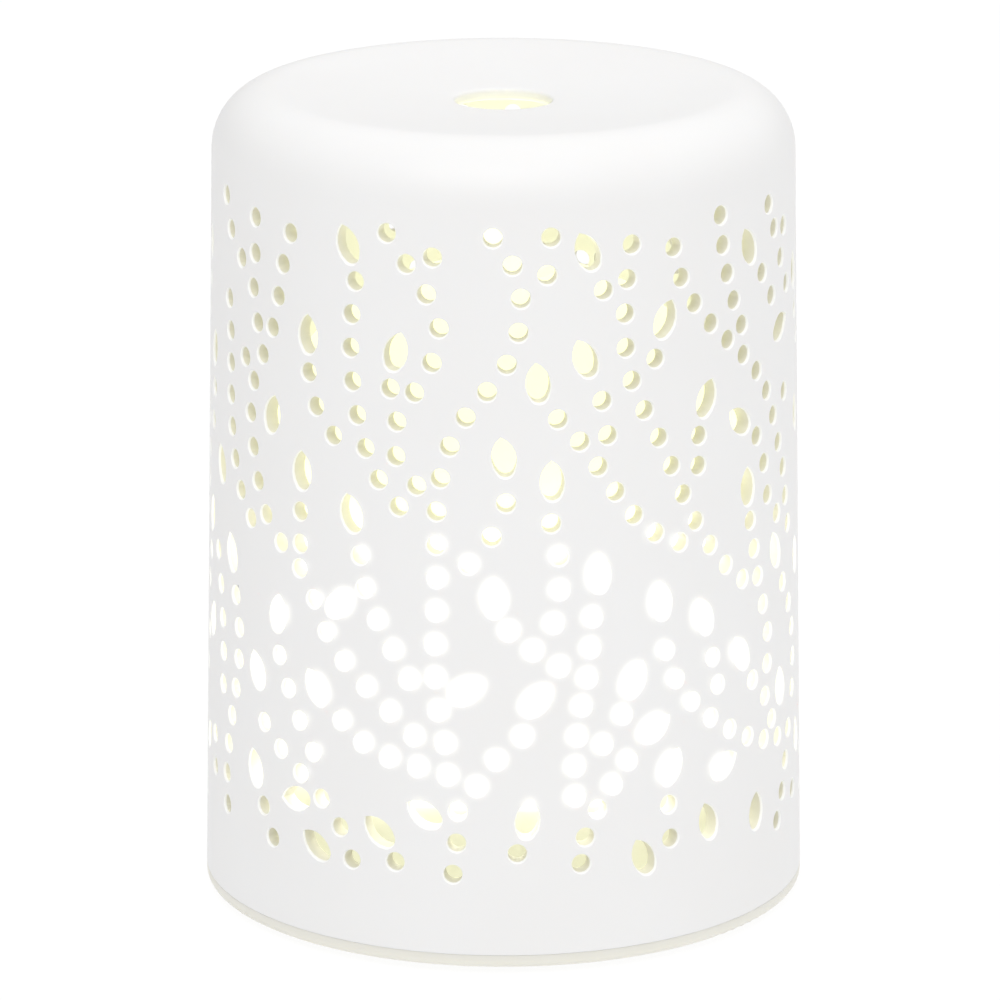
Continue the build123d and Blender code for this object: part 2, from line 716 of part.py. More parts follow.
# Base plate with the ring that shows under the cover
board_posts = [(-post_side, post_forward), (post_side, post_forward), (0, post_rear)]
with BuildPart() as base_plate:
    with Locations((0, 0, foot_proud)):
        Cylinder(rim_radius, flange_thickness, align=centre_bottom)
    fillet(base_plate.edges().group_by(Axis.Z)[0], plate_round)
    with BuildSketch(Plane.XY.offset(plate_top)):
        Circle(housing_radius + upstand_fit + upstand_wall)
        Circle(housing_radius + upstand_fit, mode=Mode.SUBTRACT)
        Rectangle(
            2 * (panel_half_width + panel_cut_play),
            rim_radius,
            align=(Align.CENTER, Align.MIN),
            mode=Mode.SUBTRACT,
        )
    extrude(amount=upstand_height)
    with BuildSketch(Plane.XY.offset(foot_proud)):
        with Locations((0, -fan_offset)):
            with GridLocations(slot_pitch, 0, slot_count, 1):
                SlotOverall(slot_length, slot_width, rotation=90)
    extrude(amount=flange_thickness, mode=Mode.SUBTRACT)
    with Locations((0, 0, foot_proud)):
        with PolarLocations(foot_circle, 4):
            Cylinder(foot_radius, foot_recess, align=centre_bottom, mode=Mode.SUBTRACT)
    with Locations((0, 0, plate_top)):
        with PolarLocations(base_screw_circle, 4, start_angle=45):
            Cylinder(cup_radius, cup_height, align=centre_bottom)
        with Locations(*board_posts):
            Cylinder(post_radius, board_lift, align=centre_bottom)
        with Locations((0, -fan_offset)):
            with GridLocations(fan_hole_spacing, fan_hole_spacing, 2, 2):
                Cylinder(fan_pad_radius, fan_pad_height, align=centre_bottom)
    with Locations((0, 0, foot_proud)):
        with PolarLocations(base_screw_circle, 4, start_angle=45):
            bore = base_head_radius + base_head_play
            Cylinder(bore, base_head_depth, align=centre_bottom, mode=Mode.SUBTRACT)
            shank_hole = base_screw_radius + base_screw_play
            Cylinder(shank_hole, cup_top, align=centre_bottom, mode=Mode.SUBTRACT)
    with Locations((0, 0, board_top - board_screw_length)):
        with Locations(*board_posts):
            Cylinder(board_screw_radius, board_screw_length, align=centre_bottom, mode=Mode.SUBTRACT)
    with Locations((0, -fan_offset, fan_top - fan_screw_length)):
        with GridLocations(fan_hole_spacing, fan_hole_spacing, 2, 2):
            Cylinder(fan_screw_radius, fan_screw_length, align=centre_bottom, mode=Mode.SUBTRACT)
save(base_plate, "base_plate")

with BuildPart() as base_screws:
    with Locations((0, 0, base_head_top)):
        with PolarLocations(base_screw_circle, 4, start_angle=45):
            screw(base_head_radius, base_head_height, base_screw_radius, base_screw_length)
save(base_screws, "base_screws")

with BuildPart() as rubber_feet:
    with PolarLocations(foot_circle, 4):
        Cylinder(foot_radius, foot_proud + foot_recess, align=centre_bottom)
    chamfer(rubber_feet.edges().group_by(Axis.Z)[0], foot_edge)
save(rubber_feet, "rubber_feet")

# Main board and its fixings
with BuildPart() as main_board:
    with BuildSketch(Plane.XY.offset(board_bottom)):
        Circle(board_radius)
        with Locations((0, -board_edge)):
            Rectangle(
                2 * board_radius,
                2 * board_radius,
                align=(Align.CENTER, Align.MAX),
                mode=Mode.SUBTRACT,
            )
        with PolarLocations(base_screw_circle, 4, start_angle=45):
            Circle(housing_boss_radius + board_notch_play, mode=Mode.SUBTRACT)
        with Locations(*board_posts):
            Circle(board_screw_radius, mode=Mode.SUBTRACT)
    extrude(amount=board_thickness)
save(main_board, "main_board")

with BuildPart() as board_screws:
    with Locations(*[Location((x, y, board_top), (180, 0, 0)) for x, y in board_posts]):
        screw(board_head_radius, board_head_height, board_screw_radius, board_screw_length)
save(board_screws, "board_screws")

# Power inlet
jack_front = panel_inner - jack_setback
jack_mouth = jack_front + jack_nose_length
jack_plane = Plane((0, jack_mouth, panel_axis), x_dir=(1, 0, 0), z_dir=(0, -1, 0))
with BuildPart() as dc_jack:
    with Locations((0, jack_front, board_top)):
        Box(2 * jack_half_width, jack_length, jack_height, align=(Align.CENTER, Align.MAX, Align.MIN))
    with BuildSketch(jack_plane):
        Circle(jack_nose_radius)
    extrude(amount=jack_nose_length)
    with BuildSketch(jack_plane):
        Circle(jack_bore)
    extrude(amount=jack_bore_depth, mode=Mode.SUBTRACT)
    with BuildSketch(jack_plane):
        Circle(jack_root_radius)
    extrude(amount=jack_bore_depth + jack_root_length, mode=Mode.SUBTRACT)
save(dc_jack, "dc_jack")

with BuildPart() as dc_jack_pin:
    with BuildSketch(jack_plane.offset(jack_bore_depth)):
        Circle(jack_root_radius)
    extrude(amount=jack_root_length)
    with BuildSketch(jack_plane.offset(jack_bore_depth)):
        Circle(jack_pin_radius)
    extrude(amount=-jack_pin_length)
    fillet(dc_jack_pin.edges().group_by(Axis.Y)[-1], jack_tip_round)
save(dc_jack_pin, "dc_jack_pin")

# Switches and the two buttons that press them
with BuildPart() as tact_switches:
    left_switch = (-button_spacing, switch_front, board_top)
    right_switch = (button_spacing, switch_front, board_top)
    with Locations(left_switch, right_switch):
        Box(
            2 * switch_half_width,
            switch_depth,
            panel_axis + switch_over_axis - board_top,
            align=(Align.CENTER, Align.MAX, Align.MIN),
        )
    with BuildSketch(Plane((0, switch_front, panel_axis), x_dir=(1, 0, 0), z_dir=(0, -1, 0))):
        with GridLocations(2 * button_spacing, 0, 2, 1):
            Circle(plunger_radius + plunger_play)
    extrude(amount=switch_bore_depth, mode=Mode.SUBTRACT)
save(tact_switches, "tact_switches")

flange_face = panel_inner - button_flange_gap
for side, button_name in ((1, "mist_button"), (-1, "light_button")):
    button_middle = (side * button_spacing, flange_face, panel_axis)
    button_plane = Plane(button_middle, x_dir=(-1, 0, 0), z_dir=(0, 1, 0))
    with BuildPart() as button:
        with BuildSketch(button_plane):
            Circle(button_radius)
        extrude(amount=panel_face + button_proud - flange_face)
        fillet(button.edges().group_by(Axis.Y)[-1], button_edge)
        with BuildSketch(button_plane):
            Circle(button_flange_radius)
        extrude(amount=-button_flange_thickness)
        with BuildSketch(button_plane):
            Circle(plunger_radius)
        extrude(amount=switch_front - plunger_depth - flange_face)
    save(button, button_name)

# Heat sink and the driver transistor against it
sink_face = sink_y - sink_depth / 2
with BuildPart() as heat_sink:
    with Locations((sink_x, sink_face, board_top)):
        Box(sink_width, sink_web, sink_height, align=(Align.CENTER, Align.MIN, Align.MIN))
    with Locations((sink_x, sink_face, board_top)):
        with GridLocations((sink_width - sink_fin) / (sink_fin_count - 1), 0, sink_fin_count, 1):
            Box(sink_fin, sink_depth, sink_height, align=(Align.CENTER, Align.MIN, Align.MIN))
save(heat_sink, "heat_sink")

with BuildPart() as power_transistor:
    with Locations((sink_x, sink_face, board_top + transistor_lift)):
        back = (Align.CENTER, Align.MAX, Align.MIN)
        Box(transistor_width, transistor_tab, transistor_tab_height, align=back)
        Box(transistor_width, transistor_depth, transistor_body, align=back)
    with Locations((sink_x, sink_face - transistor_depth / 2, board_top)):
        with GridLocations(transistor_leg_pitch, 0, 3, 1):
            Box(transistor_leg, transistor_leg, transistor_lift, align=centre_bottom)
save(power_transistor, "power_transistor")

with BuildPart() as filter_capacitor:
    with Locations((-capacitor_x, capacitor_y, board_top)):
        Cylinder(capacitor_radius, capacitor_height, align=centre_bottom)
    fillet(filter_capacitor.edges().group_by(Axis.Z)[-1], capacitor_edge)
save(filter_capacitor, "filter_capacitor")

with BuildPart() as driver_coil:
    with Locations((-coil_x, coil_y, board_top)):
        Cylinder(coil_radius, coil_flange, align=centre_bottom)
        Cylinder(coil_waist, coil_height, align=centre_bottom)
    with Locations((-coil_x, coil_y, board_top + coil_height)):
        Cylinder(coil_radius, coil_flange, align=centre_top)
save(driver_coil, "driver_coil")

with BuildPart() as control_chip:
    with Locations((chip_x, chip_y, board_top)):
        Box(chip_width, chip_length, chip_height, align=centre_bottom)
save(control_chip, "control_chip")

with BuildPart() as lead_connectors:
    with Locations((0, 0, board_top)):
        with GridLocations(connector_spacing, 0, 3, 1):
            Box(connector_width, connector_depth, connector_height, align=centre_bottom)
save(lead_connectors, "lead_connectors")

# Leads from the board to the fan, the transducer and the light ring
fan_land = fan_lead_inset + fan_offset - fan_side / 2
fan_rise = connector_top + fan_lead_rise
piezo_rise = connector_top + piezo_lead_rise
led_rise = connector_top + led_lead_rise
lead_routes = {
    "fan_lead": [
        (-connector_spacing, 0, connector_top),
        (-connector_spacing, 0, fan_rise),
        (-fan_lead_side, -fan_land, fan_rise),
        (-fan_lead_side, -fan_land, fan_top),
    ],
    "piezo_lead": [
        (0, 0, connector_top),
        (0, 0, piezo_rise),
        (piezo_lead_reach, 0, piezo_rise),
        (piezo_lead_reach, 0, piezo_middle - piezo_thickness / 2),
    ],
    "led_lead": [
        (connector_spacing, 0, connector_top),
        (connector_spacing, 0, led_rise),
        (led_circle, 0, led_rise),
        (led_circle, 0, led_board_bottom),
    ],
}
for lead_name, route in lead_routes.items():
    with BuildPart() as lead:
        with BuildLine() as run:
            FilletPolyline(*route, radius=lead_bend)
        with BuildSketch(Plane(route[0], x_dir=(1, 0, 0), z_dir=(0, 0, 1))):
            Circle(lead_radius)
        sweep(path=run.line)
    save(lead, lead_name)

# Fan: frame with bearing, stator, rotor and screws
bearing_seat = fan_bottom + hub_plate_thickness
with BuildPart() as fan_frame:
    with BuildSketch(Plane.XY.offset(fan_bottom)):
        with Locations((0, -fan_offset)):
            RectangleRounded(fan_side, fan_side, fan_corner)
            Circle(fan_bore, mode=Mode.SUBTRACT)
            with GridLocations(fan_hole_spacing, fan_hole_spacing, 2, 2):
                Circle(fan_hole_radius, mode=Mode.SUBTRACT)
    extrude(amount=fan_thickness)
    with Locations((0, -fan_offset, fan_bottom)):
        Cylinder(hub_plate_radius, hub_plate_thickness, align=centre_bottom)
        with PolarLocations(0, 3, start_angle=90):
            Box(
                fan_bore + spoke_width / 2,
                spoke_width,
                hub_plate_thickness,
                align=(Align.MIN, Align.CENTER, Align.MIN),
            )
    with Locations((0, -fan_offset, bearing_seat)):
        Cylinder(bearing_radius, bearing_height, align=centre_bottom)
        Cylinder(bearing_bore, bearing_height, align=centre_bottom, mode=Mode.SUBTRACT)
save(fan_frame, "fan_frame")

with BuildPart() as fan_stator:
    with BuildSketch(Plane.XY.offset(bearing_seat + stator_lift)):
        with Locations((0, -fan_offset)):
            Circle(stator_radius)
            Circle(bearing_radius, mode=Mode.SUBTRACT)
    extrude(amount=stator_height)
save(fan_stator, "fan_stator")

hub_bottom = bearing_seat + hub_lift
hub_top = fan_top - hub_drop
hub_ceiling = hub_top - hub_roof
with BuildPart() as fan_rotor:
    blade_root = hub_radius - hub_wall / 2
    blade_places = []
    for blade in range(blade_count):
        turn = 360 * blade / blade_count
        blade_places.append(Location((0, -fan_offset, (hub_bottom + hub_top) / 2), (0, 0, turn)))
    with Locations(*blade_places):
        with Locations(Location((blade_root, 0, 0), (blade_pitch, 0, 0))):
            Box(blade_tip, blade_thickness, blade_span, align=(Align.MIN, Align.CENTER, Align.CENTER))
    with Locations((0, -fan_offset, hub_bottom)):
        Cylinder(blade_tip, hub_top - hub_bottom, align=centre_bottom, mode=Mode.INTERSECT)
        Cylinder(hub_radius, hub_top - hub_bottom, align=centre_bottom)
        hub_room = hub_ceiling - hub_bottom
        Cylinder(hub_radius - hub_wall, hub_room, align=centre_bottom, mode=Mode.SUBTRACT)
    with Locations((0, -fan_offset, hub_ceiling)):
        Cylinder(shaft_radius, hub_ceiling - bearing_seat - hub_lift / 2, align=centre_top)
save(fan_rotor, "fan_rotor")

screw_corner = fan_hole_spacing / 2
with BuildPart() as fan_screws:
    fan_fixings = [
        Location((screw_corner, screw_corner - fan_offset, fan_top), (180, 0, 0)),
        Location((-screw_corner, -screw_corner - fan_offset, fan_top), (180, 0, 0)),
    ]
    with Locations(*fan_fixings):
        screw(fan_head_radius, fan_head_height, fan_screw_radius, fan_screw_length)
save(fan_screws, "fan_screws")
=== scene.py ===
import bpy
import math
from mathutils import Matrix, Vector


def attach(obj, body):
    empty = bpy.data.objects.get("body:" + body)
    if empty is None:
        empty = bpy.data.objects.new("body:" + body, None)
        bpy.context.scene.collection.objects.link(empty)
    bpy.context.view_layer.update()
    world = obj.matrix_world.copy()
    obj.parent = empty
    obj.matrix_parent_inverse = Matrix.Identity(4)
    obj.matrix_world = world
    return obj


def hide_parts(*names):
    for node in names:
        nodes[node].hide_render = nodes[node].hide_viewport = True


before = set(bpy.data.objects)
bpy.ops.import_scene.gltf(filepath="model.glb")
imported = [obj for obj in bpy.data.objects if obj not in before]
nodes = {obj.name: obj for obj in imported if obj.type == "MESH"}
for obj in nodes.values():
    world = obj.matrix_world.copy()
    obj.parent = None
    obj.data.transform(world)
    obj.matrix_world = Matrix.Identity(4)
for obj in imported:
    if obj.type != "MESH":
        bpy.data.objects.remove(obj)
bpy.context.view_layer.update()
mm = 0.001
print("frame loaded:", len(nodes), "nodes")


def hexToLinear(text):
    parts = [int(text[i:i + 2], 16) / 255 for i in (0, 2, 4)]
    linear = [c / 12.92 if c <= 0.04045 else ((c + 0.055) / 1.055) ** 2.4 for c in parts]
    return (*linear, 1.0)


def setInputs(node, values):
    for name, value in values.items():
        node.inputs[name].default_value = value


def addNode(tree, kind, settings=None, values=None, links=None):
    node = tree.nodes.new(kind)
    for name, value in (settings or {}).items():
        setattr(node, name, value)
    setInputs(node, values or {})
    for name, socket in (links or {}).items():
        tree.links.new(socket, node.inputs[name])
    return node


def startMaterial(name):
    material = bpy.data.materials.new(name)
    material.use_nodes = True
    tree = material.node_tree
    tree.nodes.clear()
    output = addNode(tree, "ShaderNodeOutputMaterial")
    shader = addNode(tree, "ShaderNodeBsdfPrincipled")
    tree.links.new(shader.outputs["BSDF"], output.inputs["Surface"])
    return material, tree, shader


# Milky skins: light goes in and comes out again, depth in mm
def soften(shader, settings):
    setInputs(shader, {
        "Subsurface Weight": settings["softShare"],
        "Subsurface Radius": settings["softTint"],
        "Subsurface Scale": settings["softDepth"] * mm,
    })


def deselectAll():
    if bpy.context.object and bpy.context.object.mode != "OBJECT":
        bpy.ops.object.mode_set(mode="OBJECT")
    bpy.ops.object.select_all(action="DESELECT")


# Puts a new piece in the scene and opens it in edit mode, all selected
def openMesh(piece):
    deselectAll()
    bpy.context.scene.collection.objects.link(piece)
    bpy.context.view_layer.objects.active = piece
    piece.select_set(True)
    bpy.ops.object.mode_set(mode="EDIT")
    bpy.ops.mesh.select_all(action="SELECT")


# Camera at the photograph's angle, a long lens from a little above the top
cameraSettings = {
    "aim": Vector((0, 0, 0.0712)),
    "distance": 1.0,
    "elevation": math.radians(15.7),
    "lens": 212.8,
    "sensor": 36,
    "shift": (-0.0035, -0.0264),
    "clipStart": 0.01,
}
bpy.ops.object.camera_add()
camera = bpy.context.object
rise = cameraSettings["elevation"]
viewLine = Vector((0, -math.cos(rise), math.sin(rise)))
camera.location = cameraSettings["aim"] + cameraSettings["distance"] * viewLine
camera.rotation_euler = (math.pi / 2 - rise, 0, 0)
camera.data.lens = cameraSettings["lens"]
camera.data.sensor_width = cameraSettings["sensor"]
camera.data.shift_x, camera.data.shift_y = cameraSettings["shift"]
camera.data.clip_start = cameraSettings["clipStart"]
bpy.context.scene.camera = camera
print("camera placed")

# Studio: a white sweep that glows softly, a sky brighter overhead and to the right, a softbox high in front
studioSettings = {
    "floorSize": 6.0,
    "paper": "6E6E6E",
    "paperRough": 0.9,
    "floorGlow": 0.86,
    "skyLow": 0.49,                # at the horizon
    "skyRise": 0.7,                # gained up to the zenith
    "skyRight": 0.13,              # gained to the right, lost to the left
    "boxPlace": (-0.16, -0.88, 1.14),
    "boxSize": 0.8,
    "boxPower": 4.4,
}
white = (1, 1, 1, 1)
deselectAll()
bpy.ops.mesh.primitive_plane_add(size=studioSettings["floorSize"])
floor = bpy.context.object
floor.name = "studioFloor"
sweep, _, shader = startMaterial("white seamless paper")
setInputs(shader, {
    "Base Color": hexToLinear(studioSettings["paper"]),
    "Roughness": studioSettings["paperRough"],
    "Specular IOR Level": 0.0,
    "Emission Color": white,
    "Emission Strength": studioSettings["floorGlow"],
})
floor.data.materials.append(sweep)
sky = bpy.data.worlds.new("studioSky")
bpy.context.scene.world = sky
sky.use_nodes = True
tree = sky.node_tree
compass = addNode(tree, "ShaderNodeTexCoord").outputs["Generated"]
towards = addNode(tree, "ShaderNodeSeparateXYZ", links={"Vector": compass})
skyLow = studioSettings["skyLow"]
climb = addNode(
    tree, "ShaderNodeMapRange", None,
    {"To Min": skyLow, "To Max": skyLow + studioSettings["skyRise"]},
    {"Value": towards.outputs["Z"]},
)
side = addNode(
    tree, "ShaderNodeMath", {"operation": "MULTIPLY_ADD"},
    {1: studioSettings["skyRight"]},
    {0: towards.outputs["X"], 2: climb.outputs["Result"]},
)
background = tree.nodes["Background"]
tree.links.new(side.outputs["Value"], background.inputs["Strength"])
setInputs(background, {"Color": white})
deselectAll()
bpy.ops.object.light_add(type="AREA", location=studioSettings["boxPlace"])
softbox = bpy.context.object
softbox.name = "softbox"
softbox.data.size = studioSettings["boxSize"]
softbox.data.energy = studioSettings["boxPower"]
aimLine = cameraSettings["aim"] - softbox.location
softbox.rotation_euler = aimLine.to_track_quat("-Z", "Y").to_euler()
bpy.context.scene.view_settings.view_transform = "Standard"

# Lamplight that the translucent lid lets through, thrown up under the cover's top (metres and watts)
lidLight = {"level": 0.108, "width": 0.06, "power": 0.011, "tint": "FFFFF0"}
bpy.ops.object.light_add(type="AREA", location=(0, 0, lidLight["level"]), rotation=(math.pi, 0, 0))
lamp = bpy.context.object
lamp.name = "lidLight"
lamp.data.shape = "DISK"
lamp.data.size = lidLight["width"]
lamp.data.energy = lidLight["power"]
lamp.data.color = hexToLinear(lidLight["tint"])[:3]
lamp.visible_camera = False
print("studio lit")

# Porcelain cover: a turned bell, pierced where the frame's cover is, each hole with a softened mouth
# (sizes in mm, turns in degrees)
coverSettings = {
    "footRadius": 51.0,
    "footLevel": 3.55,
    "topRadius": 48.4,
    "top": 138.2,
    "wall": 2.8,
    "shoulder": 10.0,
    "dish": 305.0,
    "outlet": 8.1,
    "outletRound": (0.6, 0.9),     # above, below
    "outletWall": 2.1,             # thinner than the side
    "footRound": 0.1,
    "footSink": 0.15,              # rests on the plate: closes the frame's small gap
    "notch": (18.8, 18.4, 5.0),    # half width, height over the foot, corner
    "notchSteps": 8,
    "dotRadius": 1.55,
    "leaf": (6.6, 2.0, 1.5),       # length, half width, radius of the round end
    "mouth": 0.4,                  # rounding of a hole's outer edge
    "mouthTurns": (26, 50, 70, 86),
    "boreReach": (1.2, 1.0),       # cutter beyond the wall: inside, outside
    "turns": 144,
    "shoulderSteps": (16, 12),     # outside, inside
    "dishSteps": 10,
    "edgeSteps": (5, 4),           # outlet, foot
    "dotSides": 20,
    "leafSides": 6,                # on each of its three arcs
    "weld": 0.002,                 # nearer points become one
    "sliver": 0.005,               # shorter edges are dissolved
    "smoothTurn": 40,
    "wallTurn": 8,                 # faces turned less than this from outwards are wall
}
foot, top, wall = (coverSettings[key] for key in ("footLevel", "top", "wall"))
taper = (coverSettings["footRadius"] - coverSettings["topRadius"]) / (top - foot)
lean = math.atan(taper)
shoulder, dish = coverSettings["shoulder"], coverSettings["dish"]
shoulderLevel = top - shoulder


def sideRadius(level):
    return coverSettings["footRadius"] - taper * (level - foot)


shoulderMiddle = sideRadius(shoulderLevel) - shoulder / math.cos(lean)
dishMiddle = shoulderLevel + math.sqrt((dish + shoulder) ** 2 - shoulderMiddle ** 2)
dishLean = math.asin(shoulderMiddle / (dish + shoulder))


def arcPoints(middle, radius, start, end, steps):
    turns = [math.radians(start + (end - start) * step / steps) for step in range(steps + 1)]
    return [(middle[0] + radius * math.cos(turn), middle[1] + radius * math.sin(turn)) for turn in turns]


def dishPoints(inset, start, end, steps):
    radii = [start + (end - start) * step / steps for step in range(steps + 1)]
    return [(radius, dishMiddle - math.sqrt((dish + inset) ** 2 - radius ** 2)) for radius in radii]


# Half of the bell's section, from the shoulder over the outlet and back inside to the foot
def bellOutline():
    outletRadius, thin = coverSettings["outlet"], coverSettings["outletWall"]
    above, below = coverSettings["outletRound"]
    footRadius, footRound = coverSettings["footRadius"], coverSettings["footRound"]
    outerSteps, innerSteps = coverSettings["shoulderSteps"]
    outletSteps, footSteps = coverSettings["edgeSteps"]
    dishSteps = coverSettings["dishSteps"]
    steep, flat = math.degrees(lean), 90 + math.degrees(dishLean)
    outerTop = arcPoints((shoulderMiddle, shoulderLevel), shoulder, steep, flat, outerSteps)
    innerTop = arcPoints((shoulderMiddle, shoulderLevel), shoulder - wall, flat, steep, innerSteps)
    outerDish = dishPoints(0, outerTop[-1][0], outletRadius + above, dishSteps)[1:]
    innerDish = dishPoints(thin, outletRadius + below, innerTop[0][0], dishSteps)[:-1]
    outlet = arcPoints((outletRadius + above, outerDish[-1][1] - above), above, 90, 180, outletSteps)[1:]
    outlet += arcPoints((outletRadius + below, innerDish[0][1] + below), below, 180, 270, outletSteps)[:-1]
    inside = footRadius - wall / math.cos(lean)
    seat = foot - coverSettings["footSink"] + footRound
    footEdge = arcPoints((inside + footRound, seat), footRound, 180, 270, footSteps)
    footEdge += arcPoints((footRadius - footRound, seat), footRound, 270, 360, footSteps)
    return outerTop + outerDish + outlet + innerDish + innerTop + footEdge


bellLine = [Vector((radius, 0, level)) * mm for radius, level in bellOutline()]
cover = bpy.data.objects.new("porcelainCover", bpy.data.meshes.new("porcelainCover"))
cover.data.from_pydata(bellLine, [(i, (i + 1) % len(bellLine)) for i in range(len(bellLine))], [])
openMesh(cover)
bpy.ops.mesh.spin(steps=coverSettings["turns"], angle=2 * math.pi, center=(0, 0, 0), axis=(0, 0, 1))
bpy.ops.mesh.select_all(action="SELECT")
bpy.ops.mesh.remove_doubles(threshold=coverSettings["weld"] * mm)
bpy.ops.mesh.normals_make_consistent(inside=False)
bpy.ops.object.mode_set(mode="OBJECT")
print("bell turned:", len(cover.data.polygons), "faces")

# How a hole is known in the frame's cover (sizes in mm)
holeSettings = {
    "boreShare": 0.6,              # the faces of a bore look outwards by less than this
    "rimGap": 0.02,                # a point this near the outer wall is on it
    "widest": 9,                   # larger ones are the foot, the notch and the dished top
    "leafReach": 1.4,              # a leaf's tip is farther out than this many dot radii
}


def outwardShare(face):
    flat = Vector((face.center.x, face.center.y, 0)).normalized()
    return face.normal.dot(flat)


def offTheWall(spot):
    return abs(math.hypot(spot.x, spot.y) / mm - sideRadius(spot.z / mm))


# Each pierced hole of the frame's cover: its middle on the outer wall, and its tip if it is a leaf
def findHoles():
    probe = bpy.data.objects.new("probe", nodes["ceramic_cover"].data.copy())
    openMesh(probe)
    bpy.ops.mesh.remove_doubles(threshold=coverSettings["weld"] * mm)
    bpy.ops.object.mode_set(mode="OBJECT")
    mesh = probe.data
    leader = list(range(len(mesh.vertices)))

    def lead(i):
        while leader[i] != i:
            leader[i] = leader[leader[i]]
            i = leader[i]
        return i

    bores = [face for face in mesh.polygons if abs(outwardShare(face)) < holeSettings["boreShare"]]
    for face in bores:
        first = lead(face.vertices[0])
        for corner in face.vertices[1:]:
            leader[lead(corner)] = first
    groups = {}
    for corner in {corner for face in bores for corner in face.vertices}:
        groups.setdefault(lead(corner), []).append(mesh.vertices[corner].co.copy())
    holes = []
    for spots in groups.values():
        rim = [spot for spot in spots if offTheWall(spot) < holeSettings["rimGap"]]
        if not rim or max((spot - rim[0]).length for spot in spots) > holeSettings["widest"] * mm:
            continue
        middle = sum(rim, Vector()) / len(rim)
        tip = max(rim, key=lambda spot: (spot - middle).length)
        isLeaf = (tip - middle).length > holeSettings["leafReach"] * coverSettings["dotRadius"] * mm
        holes.append((middle, tip if isLeaf else None))
    bpy.data.objects.remove(probe)
    return holes


def extrudeUp(height):
    bpy.ops.mesh.extrude_region_move(TRANSFORM_OT_translate={"value": (0, 0, height * mm)})


# One cutter for the dots and one for the leaves: a straight bore that opens like a trumpet at the outer wall
def makeCutter(name, outline, reach):
    inner, outer = coverSettings["boreReach"]
    depth, mouth = wall + inner, coverSettings["mouth"]
    cutter = bpy.data.objects.new(name, bpy.data.meshes.new(name))
    floorPoints = [Vector((x, y, -depth)) * mm for x, y in outline]
    cutter.data.from_pydata(floorPoints, [], [list(range(len(outline)))])
    openMesh(cutter)
    extrudeUp(depth - mouth)
    level, flare = -mouth, 0
    for turn in coverSettings["mouthTurns"]:
        nextLevel = mouth * (math.sin(math.radians(turn)) - 1)
        nextFlare = mouth * (1 - math.cos(math.radians(turn)))
        extrudeUp(nextLevel - level)
        grow = [(half + nextFlare) / (half + flare) for half in reach]
        bpy.ops.transform.resize(value=(*grow, 1), center_override=(0, 0, 0))
        level, flare = nextLevel, nextFlare
    extrudeUp(outer)
    bpy.ops.mesh.select_all(action="SELECT")
    bpy.ops.mesh.normals_make_consistent(inside=False)
    bpy.ops.object.mode_set(mode="OBJECT")
    return cutter


# Two side arcs swell from a leaf's tip to its belly and run into a smaller round end
leafLength, leafHalf, leafEnd = coverSettings["leaf"]
leafSides = coverSettings["leafSides"]
endReach, endShare = leafLength - leafEnd, leafEnd / leafHalf
endSquare = endReach ** 2 + leafEnd * (leafHalf - leafEnd)
bellyDrop = (endReach - math.sqrt(endReach ** 2 - endShare * endSquare)) / endShare
sideArc = (bellyDrop ** 2 + leafHalf ** 2) / (2 * leafHalf)
belly, endMiddle = leafLength / 2 - bellyDrop, leafEnd - leafLength / 2
joinTurn = math.degrees(math.atan((endMiddle - belly) / (sideArc - leafHalf)))
tipTurn = math.degrees(math.asin(bellyDrop / sideArc))
rightSide = arcPoints((leafHalf - sideArc, belly), sideArc, joinTurn, tipTurn, leafSides)
leftSide = [(-x, y) for x, y in reversed(rightSide)][1:]
roundEnd = arcPoints((0, endMiddle), leafEnd, 180 - joinTurn, 360 + joinTurn, leafSides)[1:-1]
dotRadius = coverSettings["dotRadius"]
dotOutline = arcPoints((0, 0), dotRadius, 0, 360, coverSettings["dotSides"])[:-1]
dotCutter = makeCutter("dotCutter", dotOutline, (dotRadius, dotRadius))
leafCutter = makeCutter("leafCutter", rightSide + leftSide + roundEnd, (leafHalf, leafLength / 2))
holes = findHoles()
deselectAll()
for middle, tip in holes:
    outward = Vector((middle.x, middle.y, 0)).normalized()
    along = Vector((0, 0, 1))
    if tip:
        along = tip - middle
        along = (along - outward * along.dot(outward)).normalized()
        middle = tip - along * leafLength / 2 * mm
    across = along.cross(outward)
    spot = outward * sideRadius(middle.z / mm) * mm + Vector((0, 0, middle.z))
    if tip:
        spot += across * (middle - spot).dot(across)
    stance = Matrix((across, along, outward)).transposed().to_4x4()
    stance.translation = spot
    cutter = (leafCutter if tip else dotCutter).copy()
    cutter.data = cutter.data.copy()
    cutter.data.transform(stance)
    bpy.context.scene.collection.objects.link(cutter)
    cutter.select_set(True)
    bpy.context.view_layer.objects.active = cutter
bpy.ops.object.join()
piercing = bpy.context.object
bpy.data.objects.remove(dotCutter)
bpy.data.objects.remove(leafCutter)

# The notch round the rear panel
deselectAll()
notchHalf, notchHeight, notchRound = coverSettings["notch"]
footRadius = coverSettings["footRadius"]
bpy.ops.mesh.primitive_cube_add(size=1, location=(0, footRadius * mm, foot * mm))
notch = bpy.context.object
notch.scale = (2 * notchHalf * mm, footRadius * mm, 2 * notchHeight * mm)
bpy.ops.object.transform_apply(location=True, scale=True)
bpy.ops.object.mode_set(mode="EDIT")
bpy.ops.mesh.select_mode(type="EDGE")
bpy.ops.mesh.select_all(action="DESELECT")
bpy.ops.object.mode_set(mode="OBJECT")
for edge in notch.data.edges:
    start, end = (notch.data.vertices[corner].co for corner in edge.vertices)
    edge.select = abs(start.y - end.y) > mm and start.z > foot * mm
bpy.ops.object.mode_set(mode="EDIT")
bpy.ops.mesh.bevel(offset=notchRound * mm, segments=coverSettings["notchSteps"], profile=0.5, affect="EDGES")
bpy.ops.object.mode_set(mode="OBJECT")

